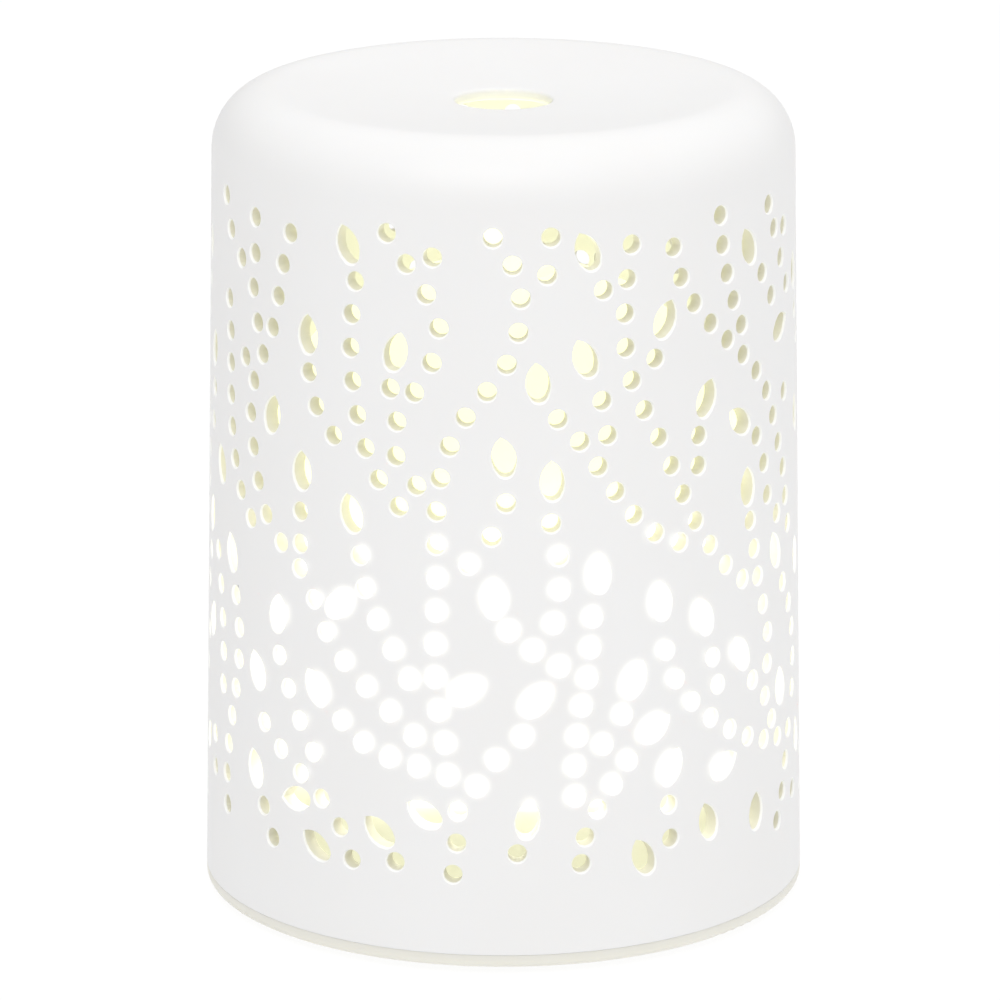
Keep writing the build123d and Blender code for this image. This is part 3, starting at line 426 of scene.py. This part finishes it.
deselectAll()
bpy.context.view_layer.objects.active = cover
cover.select_set(True)
for tool in (piercing, notch):
    pierce = cover.modifiers.new("pierce", "BOOLEAN")
    pierce.object = tool
    pierce.operation = "DIFFERENCE"
    pierce.solver = "MANIFOLD"
    bpy.ops.object.modifier_apply(modifier=pierce.name)
    bpy.data.objects.remove(tool)
bpy.ops.object.mode_set(mode="EDIT")
bpy.ops.mesh.select_all(action="SELECT")
bpy.ops.mesh.dissolve_degenerate(threshold=coverSettings["sliver"] * mm)
bpy.ops.mesh.quads_convert_to_tris(quad_method="BEAUTY", ngon_method="BEAUTY")
bpy.ops.object.mode_set(mode="OBJECT")
bpy.ops.object.shade_smooth_by_angle(angle=math.radians(coverSettings["smoothTurn"]))

# The wall between the holes keeps the cone's own normals, so that it shades without streaks
bell = cover.data
wallShare = math.cos(math.radians(coverSettings["wallTurn"]))
cornerNormals = [Vector((0, 0, 0))] * len(bell.loops)    # zero keeps Blender's own normal
for face in bell.polygons:
    spots = [bell.vertices[corner].co for corner in face.vertices]
    onWall = outwardShare(face) > wallShare and min(map(offTheWall, spots)) < holeSettings["rimGap"]
    if onWall and face.center.z < shoulderLevel * mm:
        for loopIndex, spot in zip(face.loop_indices, spots):
            flat = Vector((spot.x, spot.y, 0)).normalized()
            cornerNormals[loopIndex] = flat * math.cos(lean) + Vector((0, 0, math.sin(lean)))
bell.normals_split_custom_set(cornerNormals)
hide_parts("ceramic_cover")
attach(cover, "cover")
coverTriangles = sum(len(face.vertices) - 2 for face in bell.polygons)
print("cover pierced:", len(holes), "holes,", coverTriangles, "triangles")

# Unglazed white porcelain: a soft satin skin, faintly cloudy, a few dark specks, a painted highlight on the
# rounded rims round the holes and painted shade with a warm cast in the bores (sizes in mm)
porcelainSettings = {
    "body": "EFEFEF",
    "cloud": "ECEBEA",
    "cloudSize": 30,
    "speck": "8E8C84",
    "speckSpacing": 16,
    "speckFade": (0.008, 0.018),   # share of the spacing: solid, gone
    "speckDepth": 0.6,
    # painted highlight: a whiter band on each hole's rounded rim, just under the outer wall
    "rimHighlight": "FEFEFD",
    "rimHighlightDepth": (0.26, 0.2),       # from the outer wall inwards: middle, half range
    # painted shade: a darker, warmer band down each bore, for the shade and the lamplight's warm cast inside
    # the holes
    "boreShade": "E8E6D9",
    "boreShadeDepth": (1.6, 1.15),
    "paintedTop": 127.5,               # no painted rim highlight or painted bore shade above this level
    "grain": 0.4,                  # coarser than the real one, so that it shows
    "grainRelief": 0.2,
    "grainStrength": 0.06,
    "rough": 0.45,
    "ior": 1.5,
    "softShare": 0.15,
    "softTint": (1.0, 0.92, 0.8),
    "softDepth": 0.8,
}
porcelain, tree, shader = startMaterial("unglazed porcelain")
place = addNode(tree, "ShaderNodeTexCoord").outputs["Object"]
cloud = addNode(
    tree, "ShaderNodeTexNoise", None,
    {"Scale": 1 / (porcelainSettings["cloudSize"] * mm), "Detail": 2.0},
    {"Vector": place},
)
cloudMix = addNode(
    tree, "ShaderNodeMix", {"data_type": "RGBA"},
    {"A": hexToLinear(porcelainSettings["body"]), "B": hexToLinear(porcelainSettings["cloud"])},
    {"Factor": cloud.outputs["Fac"]},
)
specks = addNode(
    tree, "ShaderNodeTexVoronoi", None,
    {"Scale": 1 / (porcelainSettings["speckSpacing"] * mm)},
    {"Vector": place},
)
speckSolid, speckGone = porcelainSettings["speckFade"]
speckSize = addNode(
    tree, "ShaderNodeMapRange", None,
    {
        "From Min": speckSolid,
        "From Max": speckGone,
        "To Min": porcelainSettings["speckDepth"],
        "To Max": 0.0,
    },
    {"Value": specks.outputs["Distance"]},
)
speckMix = addNode(
    tree, "ShaderNodeMix", {"data_type": "RGBA"},
    {"B": hexToLinear(porcelainSettings["speck"])},
    {"Factor": speckSize.outputs["Result"], "A": cloudMix.outputs["Result"]},
)

# Depth of a point below the outer cone, which tells the painted rim highlight and the painted bore shade
# from the wall
level = addNode(tree, "ShaderNodeSeparateXYZ", links={"Vector": place})
flat = addNode(tree, "ShaderNodeVectorMath", {"operation": "MULTIPLY"}, {1: (1, 1, 0)}, {0: place})
radius = addNode(tree, "ShaderNodeVectorMath", {"operation": "LENGTH"}, links={0: flat.outputs["Vector"]})
floorRadius = (footRadius + taper * foot) * mm
wallRadius = addNode(
    tree, "ShaderNodeMath", {"operation": "MULTIPLY_ADD"},
    {1: -taper, 2: floorRadius},
    {0: level.outputs["Z"]},
)
depth = addNode(
    tree, "ShaderNodeMath", {"operation": "SUBTRACT"}, None,
    {0: wallRadius.outputs["Value"], 1: radius.outputs["Value"]},
)
lowEnough = addNode(
    tree, "ShaderNodeMath", {"operation": "LESS_THAN"},
    {1: porcelainSettings["paintedTop"] * mm},
    {0: level.outputs["Z"]},
)
tint = speckMix
# Painted light by depth below the outer cone: the rim highlight, then the bore shade
for part in ("rimHighlight", "boreShade"):
    partMiddle, partHalf = porcelainSettings[part + "Depth"]
    inRange = addNode(
        tree, "ShaderNodeMath", {"operation": "COMPARE"},
        {1: partMiddle * mm, 2: partHalf * mm},
        {0: depth.outputs["Value"]},
    )
    partShare = addNode(
        tree, "ShaderNodeMath", {"operation": "MULTIPLY"}, None,
        {0: inRange.outputs["Value"], 1: lowEnough.outputs["Value"]},
    )
    tint = addNode(
        tree, "ShaderNodeMix", {"data_type": "RGBA"},
        {"B": hexToLinear(porcelainSettings[part])},
        {"Factor": partShare.outputs["Value"], "A": tint.outputs["Result"]},
    )
tree.links.new(tint.outputs["Result"], shader.inputs["Base Color"])
grain = addNode(
    tree, "ShaderNodeTexNoise", None,
    {"Scale": 1 / (porcelainSettings["grain"] * mm), "Detail": 3.0},
    {"Vector": place},
)
bump = addNode(
    tree, "ShaderNodeBump", None,
    {"Strength": porcelainSettings["grainStrength"], "Distance": porcelainSettings["grainRelief"] * mm},
    {"Height": grain.outputs["Fac"]},
)
tree.links.new(bump.outputs["Normal"], shader.inputs["Normal"])
setInputs(shader, {"Roughness": porcelainSettings["rough"], "IOR": porcelainSettings["ior"]})
soften(shader, porcelainSettings)
cover.data.materials.clear()
cover.data.materials.append(porcelain)
print("porcelain done")

# Moulded, plated and drawn surfaces: a slow drift of tone and gloss, and a fine grain, coarser than the real
# one so that it shows. In each piece's settings drift and grain are sizes in mm
glossDrift = 0.06
grainRelief = 0.2 * mm


def dressPieces(names, finish, settings):
    material, tree, shader = startMaterial(finish)
    place = addNode(tree, "ShaderNodeTexCoord").outputs["Object"]
    drift = addNode(
        tree, "ShaderNodeTexNoise", None,
        {"Scale": 1 / (settings["drift"] * mm), "Detail": 2.0},
        {"Vector": place},
    )
    tone = addNode(
        tree, "ShaderNodeMix", {"data_type": "RGBA"},
        {"A": hexToLinear(settings["light"]), "B": hexToLinear(settings["dark"])},
        {"Factor": drift.outputs["Fac"]},
    )
    tree.links.new(tone.outputs["Result"], shader.inputs["Base Color"])
    gloss = addNode(
        tree, "ShaderNodeMapRange", None,
        {"To Min": settings["rough"] - glossDrift, "To Max": settings["rough"] + glossDrift},
        {"Value": drift.outputs["Fac"]},
    )
    tree.links.new(gloss.outputs["Result"], shader.inputs["Roughness"])
    grain = addNode(
        tree, "ShaderNodeTexNoise", None,
        {"Scale": 1 / (settings["grain"] * mm), "Detail": 3.0},
        {"Vector": place},
    )
    bump = addNode(
        tree, "ShaderNodeBump", None,
        {"Strength": settings["bump"], "Distance": grainRelief},
        {"Height": grain.outputs["Fac"]},
    )
    tree.links.new(bump.outputs["Normal"], shader.inputs["Normal"])
    setInputs(shader, {"Metallic": settings.get("metal", 0.0)})
    for name in names:
        piece = nodes[name]
        piece.data.materials.clear()
        piece.data.materials.append(material)
    return tree, shader, place


# Light that comes through a wall: its strength goes by height (low and high in mm). It fades to the share
# "open" where nothing shuts the daylight out within "room" mm of the wall
daylight = {"shut": 0.45, "free": 0.9, "samples": 16}    # open air where fading starts and ends


def glowByHeight(tree, shader, place, settings):
    level = addNode(tree, "ShaderNodeSeparateXYZ", links={"Vector": place})
    climb = addNode(
        tree, "ShaderNodeMapRange", {"interpolation_type": "SMOOTHSTEP"},
        {
            "From Min": settings["low"] * mm,
            "From Max": settings["high"] * mm,
            "To Min": settings["atLow"],
            "To Max": settings["atHigh"],
        },
        {"Value": level.outputs["Z"]},
    )
    openAir = addNode(
        tree, "ShaderNodeAmbientOcclusion", {"samples": daylight["samples"]},
        {"Distance": settings["room"] * mm},
    )
    dimming = addNode(
        tree, "ShaderNodeMapRange", None,
        {
            "From Min": daylight["shut"],
            "From Max": daylight["free"],
            "To Min": 1.0,
            "To Max": settings["open"],
        },
        {"Value": openAir.outputs["AO"]},
    )
    strength = addNode(
        tree, "ShaderNodeMath", {"operation": "MULTIPLY"}, None,
        {0: climb.outputs["Result"], 1: dimming.outputs["Result"]},
    )
    setInputs(shader, {"Emission Color": hexToLinear(settings["glow"])})
    tree.links.new(strength.outputs["Value"], shader.inputs["Emission Strength"])
    return level, strength


# Frosted polypropylene tank, lit through by the lamps below it: brightest low down, weaker near the rim
tankSettings = {
    "light": "C9C9C2", "dark": "C2C2BA", "drift": 20,
    "rough": 0.5, "grain": 0.6, "bump": 0.1,
    "glow": "FFFFF0", "low": 50, "high": 74, "atLow": 3.0, "atHigh": 1.7,
    "room": 12, "open": 0.07,
}
tree, shader, place = dressPieces(["water_tank"], "frosted polypropylene tank", tankSettings)
glowByHeight(tree, shader, place, tankSettings)

# The splash lid is the same plastic further from the lamps: a pale yellow glow, weaker at the chimney
lidSettings = {
    "light": "C9C9BC", "dark": "C2C2B4", "drift": 20,
    "rough": 0.5, "grain": 0.6, "bump": 0.1,
    "glow": "FFFFCE", "low": 74, "high": 110, "atLow": 0.92, "atHigh": 0.74,
    "room": 50, "open": 0.3,
}
tree, shader, place = dressPieces(["mist_dome"], "frosted polypropylene lid", lidSettings)
glowByHeight(tree, shader, place, lidSettings)

# Moulded ABS housing: light leaks down round it with a pale yellow cast; the rear panel stays dark
housingSettings = {
    # the skin is painted darker and yellower than white ABS: painted shade with the warm cast of the
    # lamplight
    "light": "DAD9CC", "dark": "D4D3C5", "drift": 20,
    "rough": 0.5, "grain": 0.5, "bump": 0.12,
    "glow": "FFFFDC", "low": 8, "high": 27, "atLow": 0.53, "atHigh": 0.24,
    "room": 12, "open": 0.3,
    "panel": (36, 40),             # the glow fades out between these, from the axis to the rear
}
tree, shader, place = dressPieces(["housing"], "moulded white ABS", housingSettings)
level, strength = glowByHeight(tree, shader, place, housingSettings)
panelStart, panelEnd = housingSettings["panel"]
panel = addNode(
    tree, "ShaderNodeMapRange", None,
    {"From Min": panelStart * mm, "From Max": panelEnd * mm, "To Min": 1.0, "To Max": 0.0},
    {"Value": level.outputs["Y"]},
)
shade = addNode(
    tree, "ShaderNodeMath", {"operation": "MULTIPLY"}, None,
    {0: strength.outputs["Value"], 1: panel.outputs["Result"]},
)
tree.links.new(shade.outputs["Value"], shader.inputs["Emission Strength"])

# Cream ABS base plate: slightly translucent, with a fine moulded texture
baseSettings = {
    "light": "EAE8DF", "dark": "E6E4DA", "drift": 20,
    "rough": 0.42, "grain": 0.5, "bump": 0.1,
    "softShare": 0.3, "softTint": (1.0, 0.95, 0.8), "softDepth": 2,
}
_, shader, _ = dressPieces(["base_plate", "piezo_clamp"], "moulded cream ABS", baseSettings)
soften(shader, baseSettings)
print("lit plastics done")

# Buttons: warm grey ABS, a little smoother than the panel
buttonSettings = {
    "light": "C9C8C2", "dark": "C3C2BB", "drift": 6,
    "rough": 0.38, "grain": 0.4, "bump": 0.08,
}
dressPieces(["mist_button", "light_button"], "moulded grey ABS", buttonSettings)

# Clear silicone rubber: milky, with a soft edge sheen
sealSettings = {
    "light": "D8D8D2", "dark": "CFCFC8", "drift": 10,
    "rough": 0.45, "grain": 0.8, "bump": 0.1,
    "softShare": 0.4, "softTint": (1.0, 1.0, 0.95), "softDepth": 2,
}
_, shader, _ = dressPieces(["tank_seal", "piezo_gasket"], "milky silicone rubber", sealSettings)
soften(shader, sealSettings)

# Black rubber feet: dull, with a dusty bloom
feetSettings = {
    "light": "3C3B39", "dark": "2C2B2A", "drift": 4,
    "rough": 0.8, "grain": 0.3, "bump": 0.3,
}
dressPieces(["rubber_feet"], "moulded black rubber", feetSettings)

# Zinc-plated steel screws: bright, with a bluish passivated drift
screwSettings = {
    "light": "C6C9CC", "dark": "A9ADB3", "drift": 2,
    "rough": 0.32, "grain": 0.3, "bump": 0.12, "metal": 1.0,
}
screwSets = ["tank_screws", "piezo_screws", "led_screws", "base_screws", "board_screws", "fan_screws"]
dressPieces(screwSets, "zinc-plated steel", screwSettings)

# Nickel-plated transducer disc: satin metal, marked by water
discSettings = {
    "light": "D2CBB8", "dark": "B9B09A", "drift": 4,
    "rough": 0.3, "grain": 0.4, "bump": 0.1, "metal": 1.0,
}
dressPieces(["piezo_disc"], "satin nickel plate", discSettings)

# Turned brass contact pin: warm and bright
pinSettings = {
    "light": "D9BC74", "dark": "C7A75E", "drift": 3,
    "rough": 0.22, "grain": 0.3, "bump": 0.08, "metal": 1.0,
}
dressPieces(["dc_jack_pin"], "turned brass", pinSettings)

# Extruded aluminium sink: fine draw lines along its height
sinkSettings = {
    "light": "C4C6C8", "dark": "B2B5B8", "drift": 6,
    "rough": 0.4, "grain": 0.4, "bump": 0.05, "metal": 1.0,
    "line": 0.3, "lineStretch": 0.02, "lineStrength": 0.2, "lineDepth": 0.1,
}
tree, shader, place = dressPieces(["heat_sink"], "extruded aluminium", sinkSettings)
lineScale = (1, 1, sinkSettings["lineStretch"])
stretch = addNode(tree, "ShaderNodeMapping", None, {"Scale": lineScale}, {"Vector": place})
lines = addNode(
    tree, "ShaderNodeTexNoise", None,
    {"Scale": 1 / (sinkSettings["line"] * mm), "Detail": 2.0},
    {"Vector": stretch.outputs["Vector"]},
)
drawn = addNode(
    tree, "ShaderNodeBump", None,
    {"Strength": sinkSettings["lineStrength"], "Distance": sinkSettings["lineDepth"] * mm},
    {"Height": lines.outputs["Fac"]},
)
tree.links.new(drawn.outputs["Normal"], shader.inputs["Normal"])

# Glass-fibre board under green solder mask, and the lamp board under white: the weave shows faintly through
boardSettings = {
    "main_board": {"finish": "green solder mask", "light": "1F6B41", "dark": "1A5C38"},
    "led_board": {"finish": "white solder mask", "light": "E6E6E0", "dark": "DDDDD6"},
}
boardSurface = {"drift": 10, "rough": 0.35, "grain": 0.5, "bump": 0.05}
weaveSettings = {"pitch": 0.9, "strength": 0.15, "depth": 0.1}
waveFactor = math.pi / 10          # a Wave texture's scale times its pitch
weaveScale = waveFactor / (weaveSettings["pitch"] * mm)
for boardName, settings in boardSettings.items():
    tree, shader, place = dressPieces([boardName], settings["finish"], {**settings, **boardSurface})
    wavesX, wavesY = (
        addNode(
            tree, "ShaderNodeTexWave", {"bands_direction": axis},
            {"Scale": weaveScale},
            {"Vector": place},
        )
        for axis in "XY"
    )
    weave = addNode(
        tree, "ShaderNodeMath", {"operation": "MULTIPLY"}, None,
        {0: wavesX.outputs["Fac"], 1: wavesY.outputs["Fac"]},
    )
    bump = addNode(
        tree, "ShaderNodeBump", None,
        {"Strength": weaveSettings["strength"], "Distance": weaveSettings["depth"] * mm},
        {"Height": weave.outputs["Value"]},
    )
    tree.links.new(bump.outputs["Normal"], shader.inputs["Normal"])

# Lamp phosphor: yellow silicone that glows warm white
lampSettings = {
    "light": "FFE79A", "dark": "F6D983", "drift": 1,
    "rough": 0.3, "grain": 0.3, "bump": 0.1,
    "glow": "FFF3D0", "strength": 3.0,
}
_, shader, _ = dressPieces(["leds"], "lamp phosphor", lampSettings)
setInputs(shader, {
    "Emission Color": hexToLinear(lampSettings["glow"]),
    "Emission Strength": lampSettings["strength"],
})

# Black nylon of the jack, switches and fan: even and half dull
nylonSettings = {
    "light": "232323", "dark": "1A1A1A", "drift": 5,
    "rough": 0.45, "grain": 0.4, "bump": 0.12,
}
dressPieces(["dc_jack", "tact_switches", "fan_frame", "fan_rotor"], "moulded black nylon", nylonSettings)

# Epoxy of the chips: duller, with a sandy skin
chipSettings = {
    "light": "2B2B2C", "dark": "222223", "drift": 3,
    "rough": 0.6, "grain": 0.2, "bump": 0.2,
}
dressPieces(["power_transistor", "control_chip"], "moulded black epoxy", chipSettings)

# Shrunk PVC sleeve of the capacitor: dark blue and glossy
sleeveSettings = {
    "light": "1D2746", "dark": "172040", "drift": 6,
    "rough": 0.25, "grain": 0.8, "bump": 0.06,
}
dressPieces(["filter_capacitor"], "shrunk PVC sleeve", sleeveSettings)

# Natural nylon connectors: a waxy cream
connectorSettings = {
    "light": "E4E0CF", "dark": "DBD6C2", "drift": 4,
    "rough": 0.42, "grain": 0.4, "bump": 0.08,
}
dressPieces(["lead_connectors"], "natural nylon", connectorSettings)

# PVC jacket of the leads: plain mid grey
leadSettings = {
    "light": "5B5B60", "dark": "515156", "drift": 5,
    "rough": 0.4, "grain": 0.5, "bump": 0.06,
}
dressPieces(["fan_lead", "piezo_lead", "led_lead"], "grey PVC jacket", leadSettings)

# Enamelled copper: close turns of wire in bands along the height
coilSettings = {
    "light": "B86A38", "dark": "A45A2C", "drift": 2,
    "rough": 0.3, "grain": 0.3, "bump": 0.05, "metal": 1.0,
    "wire": 0.5, "wireStrength": 0.6, "wireDepth": 0.2,
}
tree, shader, place = dressPieces(["driver_coil", "fan_stator"], "enamelled copper wire", coilSettings)
wireScale = waveFactor / (coilSettings["wire"] * mm)
turns = addNode(tree, "ShaderNodeTexWave", {"bands_direction": "Z"}, {"Scale": wireScale}, {"Vector": place})
bump = addNode(
    tree, "ShaderNodeBump", None,
    {"Strength": coilSettings["wireStrength"], "Distance": coilSettings["wireDepth"] * mm},
    {"Height": turns.outputs["Fac"]},
)
tree.links.new(bump.outputs["Normal"], shader.inputs["Normal"])
print("hidden pieces done")

# Halo of the bright holes in the lens: their highlights, blurred and added to the picture
haloSettings = {"threshold": 1.4, "limit": 2.4, "width": 11, "strength": 0.5}
scene = bpy.context.scene
scene.use_nodes = True
tree = scene.node_tree
tree.nodes.clear()
picture = addNode(tree, "CompositorNodeRLayers")
bright = addNode(
    tree, "CompositorNodeGlare", {"glare_type": "BLOOM"},
    {"Threshold": haloSettings["threshold"], "Clamp": True, "Maximum": haloSettings["limit"]},
    {"Image": picture.outputs["Image"]},
)
haloSize = (haloSettings["width"], haloSettings["width"])
halo = addNode(
    tree, "CompositorNodeBlur", {"filter_type": "GAUSS"},
    {"Size": haloSize},
    {"Image": bright.outputs["Highlights"]},
)
haloSum = addNode(
    tree, "CompositorNodeMixRGB", {"blend_type": "ADD"},
    {0: haloSettings["strength"]},
    {1: picture.outputs["Image"], 2: halo.outputs["Image"]},
)
addNode(tree, "CompositorNodeComposite", links={"Image": haloSum.outputs["Image"]})
print("halo set")
